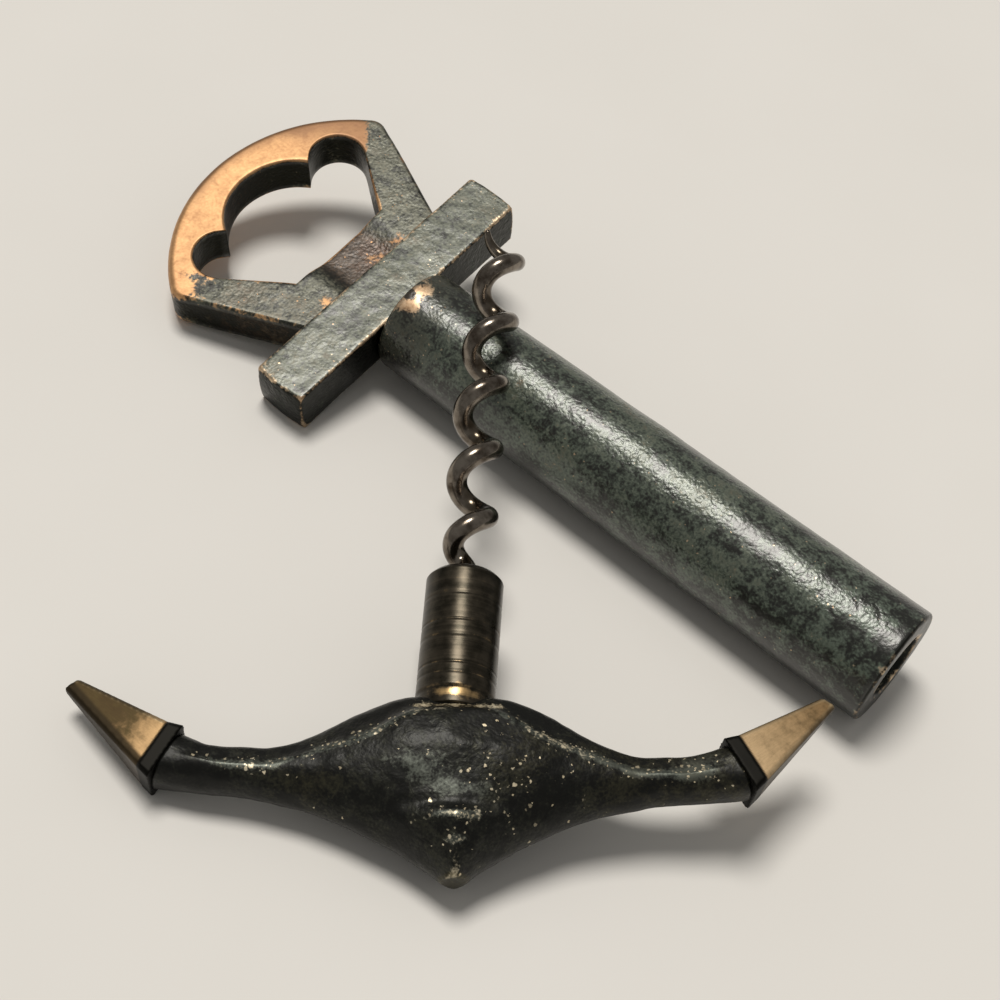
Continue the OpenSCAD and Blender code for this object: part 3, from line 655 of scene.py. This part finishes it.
# painted light and shade: the ring's flat faces are painted pale, its hole wall and outer wall dark
paintLayers(ringPiece.data, ring["layers"], {
    "held": polish, "copper": copper, "tarnished": np.clip(tarnish, 0, ring["tarnishMost"]),
    "rubbedAndLit": rubAndLightAt * (1 - ring["sunkRub"] * sunk), "sunkTop": sunk * onTop, "top": onTop,
    "speckled": speckled,
    "nearLeg": ramp(ringY, *ring["legNear"]) * ramp(-ringX, *ring["legEnd"]),
})
paintEdges(ringPiece.data)
dress(ringPiece, ringBronze, "sheath", "worn_bronze", "opener_ring")

# Stock: a cast square bar
stock = {
    "voxel": 0.25, "rounds": 14, "skin": [(7, 0.12), (1.8, 0.035)], "skinSeed": 11,
    # painted light on the faces that look up and down, painted shade on the sides
    "topRubAndLight": 0.68, "sideRub": -2.2, "topSpeck": 0.04, "levelFrom": 0.45, "levelRamp": 0.5, "edgeRounds": 8,
}
stockPiece = softCopy("stockCasting", "stock_bar", stock["voxel"], stock["rounds"])
_, normals = localMesh(stockPiece.data, sheathPose)
castSkin(stockPiece.data, stock["skin"], stock["skinSeed"])
# painted light and shade: faces that look up and down are painted pale, the sides dark
level = ramp(np.abs(normals[:, 2]), stock["levelFrom"], stock["levelRamp"])
paint(stockPiece.data, "rubAndLight", stock["sideRub"] + (stock["topRubAndLight"] - stock["sideRub"]) * level)
paint(stockPiece.data, "speck", stock["topSpeck"] * level)
paintEdges(stockPiece.data, rounds=stock["edgeRounds"])
dress(stockPiece, greenBronze, "sheath", "green_bronze", "stock_bar")

# Tube: a cast and bored sheath, one lathe profile from the stock's end round the mouth into the bore
tube = {
    "long": 99, "mouthR": 10, "neckR": 9.1, "boreR": 5.78, "boreDeep": 90, "endRound": 1.3, "rimRound": 0.8,
    "boreBreak": 0.35, "capR": (2.0, 4.0), "faceR": (8.0, 7.0), "row": 0.6, "boreRows": 24, "endSteps": 9,
    "rimSteps": 6, "cols": 168, "skin": [(8, 0.12), (2.0, 0.035)], "skinSeed": 23,
    "bare": [(-97.9, -2.7, 8.7, 1.9), (-98.4, -5.2, 7.5, 1.7), (-96.5, -0.8, 9.1, 1.5),
             (-96.2, -4.6, 7.8, 1.5)],
    "pitAt": (-98.1, -3.4, 8.4), "pitFrom": 0.6, "pitRamp": 0.9, "pitStainFrom": 0.5, "pitStainRamp": 1.2,
    "brownFrom": -82, "brownTo": -96,
    # painted light on the upper side, painted shade on the underside and on the mouth's face, and darker
    # towards the mouth
    "topRubAndLight": 0.3, "underShade": -1.0, "topReach": 1.25, "endDark": 0.55, "endDarkLong": 22, "faceShade": -1.6,
    "layers": {
        "polish": {"bare": 0.7},
        "rubAndLight": {"rubbedAndLit": 1},
        "stain": {"brown": 0.55, "pit": 0.9},
        "speck": {"outside": 0.02, "brown": 0.06},
    },
}


def tubeR(x):
    return tube["mouthR"] + (tube["mouthR"] - tube["neckR"]) * x / tube["long"]


endX, endR, rimR = -tube["long"], tube["endRound"], tube["rimRound"]
profile = [(endX, r) for r in (*tube["capR"], tubeR(endX) - endR)]
profile += [(endX + endR * (1 - math.sin(t)), tubeR(endX) - endR * (1 - math.cos(t)))
            for t in np.linspace(quarterTurn, 0, tube["endSteps"])[1:]]
shellRows = int((tube["long"] - endR - rimR) / tube["row"])
profile += [(x, tubeR(x)) for x in np.linspace(endX + endR, -rimR, shellRows)[1:]]
profile += [(-rimR * (1 - math.sin(t)), tube["mouthR"] - rimR * (1 - math.cos(t)))
            for t in np.linspace(0, quarterTurn, tube["rimSteps"])[1:]]
outerRows = len(profile)
profile += [(0, r) for r in (*tube["faceR"], tube["boreR"] + tube["boreBreak"])]
profile += [(x, tube["boreR"]) for x in np.linspace(-tube["boreBreak"], -tube["boreDeep"], tube["boreRows"])]
points = np.stack(lathe(np.array(profile), tube["cols"]), axis=1)
tubePiece = makePiece("shankCasting", points, gridFaces(len(profile), tube["cols"]), sheathPose)
outside = np.repeat((np.arange(len(profile)) < outerRows).astype(float), tube["cols"])
castSkin(tubePiece.data, tube["skin"], tube["skinSeed"], outside)
points = readMesh(tubePiece.data)[0] / mm
bareSpot = sum(np.exp(-((points - (x, y, z)) ** 2).sum(1) / r ** 2) for x, y, z, r in tube["bare"])
toPit = np.linalg.norm(points - np.array(tube["pitAt"]), axis=1)
# painted light and shade: the upper side paler, the underside darker, the mouth's face and the bore dark; the
# skin also turns darker towards the mouth
facingUp = 0.5 + 0.5 * points[:, 2] / tube["mouthR"]
shade = tube["underShade"] + (tube["topRubAndLight"] - tube["underShade"]) * ease(facingUp * tube["topReach"])
shade = shade - tube["endDark"] * ease(1 + points[:, 0] / tube["endDarkLong"])
onSkin = (outside > 0) & (points[:, 0] < -rimR / 2)
towardStock = ramp(points[:, 0], tube["brownFrom"], tube["brownTo"] - tube["brownFrom"])
paintLayers(tubePiece.data, tube["layers"], {
    "bare": np.clip(bareSpot, 0, 1) * ramp(toPit, tube["pitFrom"], tube["pitRamp"]),
    "rubbedAndLit": np.where(onSkin, shade, tube["faceShade"]), "brown": towardStock * outside, "outside": outside,
    "pit": (1 - ramp(toPit, tube["pitStainFrom"], tube["pitStainRamp"])) * outside,
})
paintEdges(tubePiece.data)
dress(tubePiece, greenBronze, "sheath", "green_bronze", "shank_tube")
print("sheath dressed")

# Crown and arms: one casting, swollen in the middle, with a ridge along each face below a chamfered top, a
# hollow in the crown's faces and a lip below it, where the keel starts. Spots lie on both faces and are
# (weight, place along, place up, length along, length up)
arms = {
    "crownDepth": 26.4, "crownT": 17, "crownDrop": 0.5, "seatW": 5, "shoulderW": 22, "shoulderDrop": 7.8,
    "armDepth": 14.2, "keelReach": 45, "armT": 7.8, "armRise": 2.6, "flare": 30, "keelPower": 2.7,
    "keelExtra": 1.4, "keelRound": 1.7, "topRound": 2.5, "seatRound": 0.3, "out": 39.4, "depth": 10,
    "shoulderAngle": 29, "collarLap": 0.5,
    "ridgeDrop": 3.4, "ridgeDip": 2.0, "ridgeDipAt": 12, "ridgeDipWide": 6, "chamferCut": 0.15,
    "dent": 1.5, "dentReach": 14, "dentLow": -19.6, "dentRamp": 2.6, "dentHigh": -8, "dentFade": 7,
    "stations": 180, "around": 168, "endSteps": 12, "skin": [(5, 0.2), (1.6, 0.07)], "skinSeed": 31,
    "ridgeWide": 1.0, "ridgeFrom": 3, "ridgeRamp": 4, "ridgeEnd": 37, "ridgeFade": 3, "edgeFade": 2,
    "seamAt": -3.1, "seamWide": 0.8, "seamHalf": 7.5, "seamFade": 1.5, "facetAt": -25.8, "facetRamp": 0.5,
    "rightFrom": 14, "rightRamp": 10,
    "spots": {
        "lip": [(1, 0.5, -19.3, 4.5, 0.8), (0.8, 0.3, -22.5, 1.8, 0.8)],
        "haze": [(1, -5.5, -12.4, 6, 2.8), (0.9, 0.5, -15.6, 4.8, 1.7)],
        "leftBrown": [(1, -20, -14, 5, 3)], "rightBrown": [(1, 9, -11, 6, 5)],
        "dusting": [(1, 9, -13, 7, 6)], "rightTip": [(1, 34, -10, 5, 3)],
        "leftGrip": [(1, -22, -11, 8, 6)], "rightGrip": [(1, 14, -8, 7, 6)],
    },
    # Light painted in: the lip, the haze in the crown's hollow, the ridges, the seam and the right arm's tip
    # are painted paler as highlights, with bright specks crowded there as painted glints; the seam, lip and
    # ridges are also partly polished
    "layers": {
        "rubAndLight": {"all": -0.35, "haze": 1.1, "lip": 1.4, "ridge": 1.1, "seam": 0.7, "rightTip": 0.6,
                "rightArm": 0.25, "facet": -0.9},
        "stain": {"facet": 1.2, "leftBrown": 0.45, "rightBrown": 0.4, "rightArm": 0.4},
        "speck": {"all": 0.014, "ridge": 0.8, "rightRidge": 0.8, "lip": 0.7, "seam": 0.9, "dusting": 0.24,
                  "rightTip": 0.3, "haze": 0.05},
        "polish": {"seam": 0.5, "lip": 0.45, "leftShine": 0.25, "rightShine": 0.42},
    },
}


def power(x, k):
    return np.sign(x) * np.abs(x) ** (2 / k)


def armTop(s):
    far = np.abs(s)
    rise = arms["armRise"] * (np.maximum(0, far - arms["flare"]) / (arms["out"] - arms["flare"])) ** 2
    return rise - arms["crownDrop"] - arms["shoulderDrop"] * ramp(far, arms["seatW"], arms["shoulderW"])


def ridgeAt(s):
    dip = np.exp(-((np.abs(s) - arms["ridgeDipAt"]) / arms["ridgeDipWide"]) ** 2)
    return armTop(s) - arms["ridgeDrop"] - arms["ridgeDip"] * dip


def armRing(s, turns):
    far = abs(s)
    top = armTop(s)
    keel = arms["crownDepth"] + arms["keelExtra"] - arms["armDepth"]
    low = -arms["armDepth"] - keel * (1 - far / arms["keelReach"]) ** arms["keelPower"]
    swell = 1 - ease(far / (arms["seatW"] + arms["shoulderW"]))
    thick = arms["armT"] / 2 + (arms["crownT"] - arms["armT"]) / 2 * swell
    c, n = np.cos(turns), np.sin(turns)
    topRound = arms["topRound"] + arms["seatRound"] * (1 - ease(far / arms["shoulderW"]))
    k = np.where(c > 0, topRound, arms["keelRound"])
    high = (top + low) / 2 + (top - low) / 2 * power(c, k)
    wide = thick * power(n, k)
    overRidge = np.clip((high - ridgeAt(s)) / (top - ridgeAt(s)), 0, 1)
    wide = wide * (1 - arms["chamferCut"] * 4 * overRidge * (1 - overRidge))  # deepest half way up
    dent = arms["dent"] * (1 - ease(far / arms["dentReach"]))
    dent = dent * ramp(high, arms["dentLow"], arms["dentRamp"])
    dent = dent * ease((arms["dentHigh"] - high) / arms["dentFade"])
    wide = np.sign(wide) * np.maximum(np.abs(wide) - dent, 0)
    return np.stack([np.full_like(c, s), wide, np.maximum(high, -arms["crownDepth"])], axis=1)


endHigh = arms["armDepth"] - arms["crownDrop"] - arms["shoulderDrop"] + arms["armRise"] - arms["collarLap"]


def armEndRing(sideSign, turns):  # the leaning end that goes into a fluke's collar
    tilt = math.radians(arms["shoulderAngle"])
    up = endHigh / 2 * power(np.cos(turns), arms["topRound"])
    wide = arms["armT"] / 2 * power(np.sin(turns), arms["topRound"])
    across = sideSign * (arms["out"] - up * math.sin(tilt))
    return np.stack([across, wide, -arms["depth"] + up * math.cos(tilt)], axis=1)


turns = turnsOf(arms["around"])
armEdge = arms["out"] - endHigh / 2 - arms["collarLap"]
rings = [armRing(s, turns) for s in np.linspace(-armEdge, armEdge, arms["stations"])]
blend = np.linspace(0, 1, arms["endSteps"] + 1)[1:]
leftRings = [(1 - b) * rings[0] + b * armEndRing(-1, turns) for b in blend]
rightRings = [(1 - b) * rings[-1] + b * armEndRing(1, turns) for b in blend]
rings = leftRings[::-1] + rings + rightRings
armsPiece = makePiece("armsCasting", np.concatenate(rings), gridFaces(len(rings), arms["around"]), armsPose)
castSkin(armsPiece.data, arms["skin"], arms["skinSeed"])
s, _, w = localMesh(armsPiece.data, armsPose)[0].T  # along the arms and up from the crown's seat
far = np.abs(s)
masks = {
    name: sum(weight * np.exp(-((s - x) / longX) ** 2 - ((w - z) / longZ) ** 2)
              for weight, x, z, longX, longZ in spots)
    for name, spots in arms["spots"].items()
}
ridge = np.exp(-((w - ridgeAt(s)) / arms["ridgeWide"]) ** 2)
ridge *= ease((arms["ridgeEnd"] - far) / arms["ridgeFade"])
ridge *= ramp(far, arms["ridgeFrom"], arms["ridgeRamp"])
seam = np.exp(-((w - arms["seamAt"]) / arms["seamWide"]) ** 2)
masks.update({
    "all": np.ones_like(s), "ridge": ridge, "rightRidge": ridge * (s > 0),
    "leftShine": ridge * masks["leftGrip"], "rightShine": ridge * masks["rightGrip"],
    "seam": seam * ease((arms["seamHalf"] - far) / arms["seamFade"]),
    "facet": ease((arms["facetAt"] - w) / arms["facetRamp"]),
    "rightArm": ramp(s, arms["rightFrom"], arms["rightRamp"]),
})
paintLayers(armsPiece.data, arms["layers"], masks)
paintEdges(armsPiece.data, share=ease((arms["ridgeEnd"] - far) / arms["edgeFade"]))
dress(armsPiece, blackBronze, "screw", "black_bronze", "anchor_arms")

# Flukes: wedges with a dark cast collar and ground faces. The ageing and light of each are the ageing per mm,
# how bright the face is painted near the collar as a highlight and over which length, and the width of the
# painted shade along the lower edge
fluke = {
    "voxel": 0.2, "rounds": 6, "palmAngle": 38.6, "collarLen": 2, "setBack": 0.05, "stepFrom": -0.1,
    "stepRamp": 0.35, "groundFrom": 0.15, "groundRamp": 0.3, "skin": [(4, 0.05)], "skinSeed": 41,
    "palmLen": 15.9, "palmHalf": 3.85, "tipHalf": 1.2, "sideFrom": 0.75, "sideRamp": 0.4, "fringeRamp": 0.6,
    "sideMost": 0.95, "edgeRounds": 6, "leftAgeAndLight": (0.22, 0.15, 5, 1.5), "rightAgeAndLight": (0.045, 1.0, 14, 0.3),
}
tilt, aim = math.radians(arms["shoulderAngle"]), math.radians(fluke["palmAngle"])
for sideSign, node, name, ageAndLight in ((-1, "left_fluke", "leftFluke", "leftAgeAndLight"),
                                   (1, "right_fluke", "rightFluke", "rightAgeAndLight")):
    flukePiece = softCopy(name, node, fluke["voxel"], fluke["rounds"])
    mesh = flukePiece.data
    local, normals = localMesh(mesh, armsPose)
    fromArm = local[:, [0, 2]] * (sideSign, 1) - (arms["out"], -arms["depth"])
    past = fromArm @ (math.cos(tilt), math.sin(tilt)) - fluke["collarLen"]
    along = fromArm @ (math.cos(aim), math.sin(aim)) - fluke["collarLen"]
    across = fromArm @ (-math.sin(aim), math.cos(aim))
    step = ramp(past, fluke["stepFrom"], fluke["stepRamp"])
    inward = np.zeros_like(local)
    inward[:, 1] = -local[:, 1] * fluke["setBack"] * step
    moveMesh(mesh, readMesh(mesh)[0] + inward @ np.array(armsPose.to_3x3()).T * mm)
    castSkin(mesh, fluke["skin"], fluke["skinSeed"] + sideSign, 1 - step)
    ageing, nearShare, nearLong, fringe = fluke[ageAndLight]
    lowEdge = -np.interp(along, (0, fluke["palmLen"]), (fluke["palmHalf"], fluke["tipHalf"]))
    # painted shade: a dark fringe along the lower edge joins the dark sides
    side = np.maximum(ease((fluke["sideFrom"] - np.abs(normals[:, 1])) / fluke["sideRamp"]),
                      ease((lowEdge + fringe - across) / fluke["fringeRamp"]))
    paint(mesh, "ground", ramp(past, fluke["groundFrom"], fluke["groundRamp"]))
    paint(mesh, "side", fluke["sideMost"] * side)
    paint(mesh, "age", along * ageing)
    paint(mesh, "near", nearShare * np.clip(1 - along / nearLong, 0, 1))
    paint(mesh, "along", along)
    paint(mesh, "across", across)
    paintEdges(mesh, rounds=fluke["edgeRounds"])
    dress(flukePiece, groundBrass, "screw", "ground_brass", node)

# Plug: turned, with a chamfered top and a few tool rings, each (height, half width, depth)
plug = {
    "r": 5.7, "long": 19.6, "chamfer": 0.8, "chamferSteps": (0.12, 0.4, 0.7, 0.94), "topIn": (0.2, 1.0),
    "eyeR": 1.0, "neck": 2.4, "neckR": 5.5, "neckTop": -0.2, "neckRows": 12, "cols": 144, "row": 0.12,
    "rings": [(10.4, 0.16, 0.07), (8.0, 0.3, 0.05), (3.7, 0.16, 0.07), (2.2, 0.25, 0.05), (14.6, 0.2, 0.04),
              (0, 0.15, 0.12)],
    "brassAndGlintRings": 4, "footAt": -0.7, "footWide": 1.0, "frontTurn": 0.75, "frontWide": 0.6,
    "layers": {
        "height": {"height": 1},
        "brassAndHighlight": {"all": 0.04, "foot": 0.15, "litFrontFoot": 0.55, "rings": 0.3},
    },
}
chamfer = plug["chamfer"]
topR = plug["r"] - chamfer
heights = np.arange(0, plug["long"] - chamfer + tiny, plug["row"])
radii = plug["r"] - sum(deep * np.exp(-((heights - at) / wide) ** 2) for at, wide, deep in plug["rings"])
profile = [(h, plug["neckR"]) for h in np.linspace(-plug["neck"], plug["neckTop"], plug["neckRows"])]
profile += list(zip(heights, radii))
profile += [(plug["long"] - chamfer * (1 - t), plug["r"] - chamfer * t) for t in plug["chamferSteps"]]
profile += [(plug["long"], topR - inset) for inset in plug["topIn"]]
profile += [(plug["long"], plug["eyeR"])]
upright, sinePart, cosinePart = lathe(np.array(profile), plug["cols"])
points = np.stack([cosinePart, sinePart, upright], axis=1)
plugPiece = makePiece("plugTurning", points, gridFaces(len(profile), plug["cols"]), screwPose)
# painted highlight: brass shows most at the front of the foot, the side turned to the camera, and in thin
# bright lines at a few tool rings
front = np.exp(-((turnsOf(plug["cols"]) - plug["frontTurn"] * fullTurn) / plug["frontWide"]) ** 2)
foot = np.exp(-((upright - plug["footAt"]) / plug["footWide"]) ** 2)
brassAndGlintRings = plug["rings"][:plug["brassAndGlintRings"]]
paintLayers(plugPiece.data, plug["layers"], {
    "height": upright, "all": np.ones_like(upright), "foot": foot,
    "litFrontFoot": np.tile(front, len(profile)) * foot,
    "rings": sum(np.exp(-((upright - at) / wide) ** 2) for at, wide, _ in brassAndGlintRings),
})
dress(plugPiece, turnedBronze, "screw", "turned_bronze", "screw_plug")

# Worm: round wire coiled to the right, drawn to a point
worm = {
    "wire": 3.2, "coil": 8.4, "pitch": 12.1, "long": 65.4, "phase": 36, "bow": 1.4, "bendFrom": 0.42,
    "bendOver": 0.5, "flareTurns": 0.55, "pointTurns": 0.7, "pointD": 0.5, "tail": 3, "tailSteps": (1, 0.5),
    "perTurn": 64, "sides": 28, "grime": 0.6, "grimeFrom": 0.45, "grimeRamp": 0.6,
}
wormTurns = worm["long"] / worm["pitch"]
turn = np.linspace(0, wormTurns, int(wormTurns * worm["perTurn"]))
radius = (worm["coil"] - worm["wire"]) / 2 * ease(turn / worm["flareTurns"])
angle = math.radians(worm["phase"]) + fullTurn * turn
share = turn / wormTurns
bow = worm["bow"] * ramp(share, worm["bendFrom"], worm["bendOver"])
upright = plug["long"] + worm["long"] * share
path = np.stack([radius * np.cos(angle) + bow, radius * np.sin(angle), upright], axis=1)
left = np.clip((wormTurns - turn) / worm["pointTurns"], 0, 1)
wire = worm["pointD"] + (worm["wire"] - worm["pointD"]) * np.sqrt(left)
tail = np.array([[0, 0, plug["long"] - worm["tail"] * t] for t in worm["tailSteps"]])
path = np.concatenate([tail, path])
wire = np.concatenate([[worm["wire"]] * len(tail), wire])
angle = np.concatenate([[angle[0]] * len(tail), angle])
way = np.gradient(path, axis=0)
way /= np.linalg.norm(way, axis=1)[:, None]
outward = np.stack([np.cos(angle), np.sin(angle), np.zeros_like(angle)], axis=1)
outward -= (outward * way).sum(1)[:, None] * way
outward /= np.linalg.norm(outward, axis=1)[:, None]
upward = np.cross(way, outward)
wireTurns = turnsOf(worm["sides"])[None, :, None]
spokes = np.cos(wireTurns) * outward[:, None, :] + np.sin(wireTurns) * upward[:, None, :]
points = path[:, None, :] + wire[:, None, None] / 2 * spokes
wormPiece = makePiece("wormWire", points.reshape(-1, 3), gridFaces(len(path), worm["sides"]), screwPose)
grime = worm["grime"] * ramp(-np.cos(wireTurns).ravel(), worm["grimeFrom"], worm["grimeRamp"])
paint(wormPiece.data, "inner", np.tile(grime, len(path)))
dress(wormPiece, nickelSteel, "screw", "nickel_steel", "worm")

# Cross pin: the CAD solid, in the plug's own bronze
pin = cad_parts["worm_pin"]
pin.data.materials.clear()
pin.data.materials.append(turnedBronze)
print("screw dressed")
